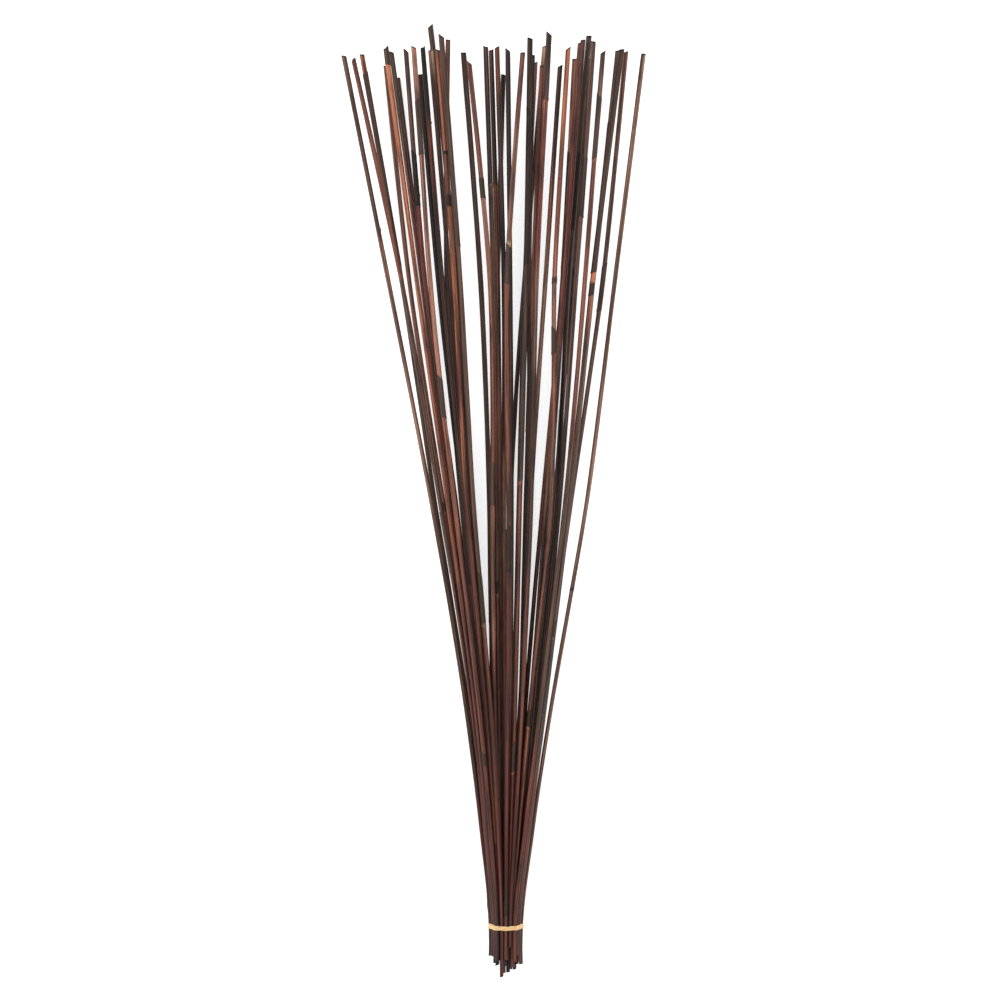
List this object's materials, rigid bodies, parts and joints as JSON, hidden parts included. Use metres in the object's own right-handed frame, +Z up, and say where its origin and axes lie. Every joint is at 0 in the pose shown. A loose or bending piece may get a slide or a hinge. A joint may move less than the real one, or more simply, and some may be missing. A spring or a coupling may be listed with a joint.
{
  "type": "bundle of twigs",
  "caption": "Long bundle of thin dyed reed sticks, fanned out towards the tips and tied near the foot with raffia, lying on a surface.",
  "frame": {"origin": "middle of the bundle's footprint, on the surface that it lies on", "axes": "+Y along the bundle from the cut feet to the fanned tips, +X across the fan, +Z up"},
  "size_m": [0.2572, 0.808, 0.0568],
  "materials": {
    "brown_reed": "satin",
    "red_reed": "satin",
    "orange_reed": "satin",
    "dark_reed": "satin",
    "raffia": "matte"
  },
  "bodies": {
    "root": {"twig_1_1": "brown_reed", "twig_1_2": "brown_reed", "twig_1_3": "dark_reed", "twig_1_4": "red_reed", "twig_1_5": "brown_reed", "twig_2_1": "brown_reed", "twig_2_2": "red_reed", "twig_2_3": "brown_reed", "twig_2_4": "brown_reed", "twig_2_5": "red_reed", "twig_2_6": "brown_reed", "twig_3_1": "orange_reed", "twig_3_2": "red_reed", "twig_3_3": "dark_reed", "twig_3_4": "dark_reed", "twig_3_5": "brown_reed", "twig_3_6": "brown_reed", "twig_3_7": "brown_reed", "twig_4_1": "brown_reed", "twig_4_2": "dark_reed", "twig_4_3": "orange_reed", "twig_4_4": "dark_reed", "twig_4_5": "dark_reed", "twig_4_6": "brown_reed", "twig_4_7": "red_reed", "twig_4_8": "brown_reed", "twig_5_1": "brown_reed", "twig_5_2": "dark_reed", "twig_5_3": "red_reed", "twig_5_4": "brown_reed", "twig_5_5": "red_reed", "twig_5_6": "brown_reed", "twig_5_7": "brown_reed", "twig_6_1": "orange_reed", "twig_6_2": "orange_reed", "twig_6_3": "red_reed", "twig_6_4": "red_reed", "twig_6_5": "orange_reed", "twig_6_6": "orange_reed", "twig_7_1": "brown_reed", "twig_7_2": "brown_reed", "twig_7_3": "brown_reed", "twig_7_4": "red_reed", "twig_7_5": "brown_reed", "raffia_tie": "raffia"}
  },
  "joints": []
}
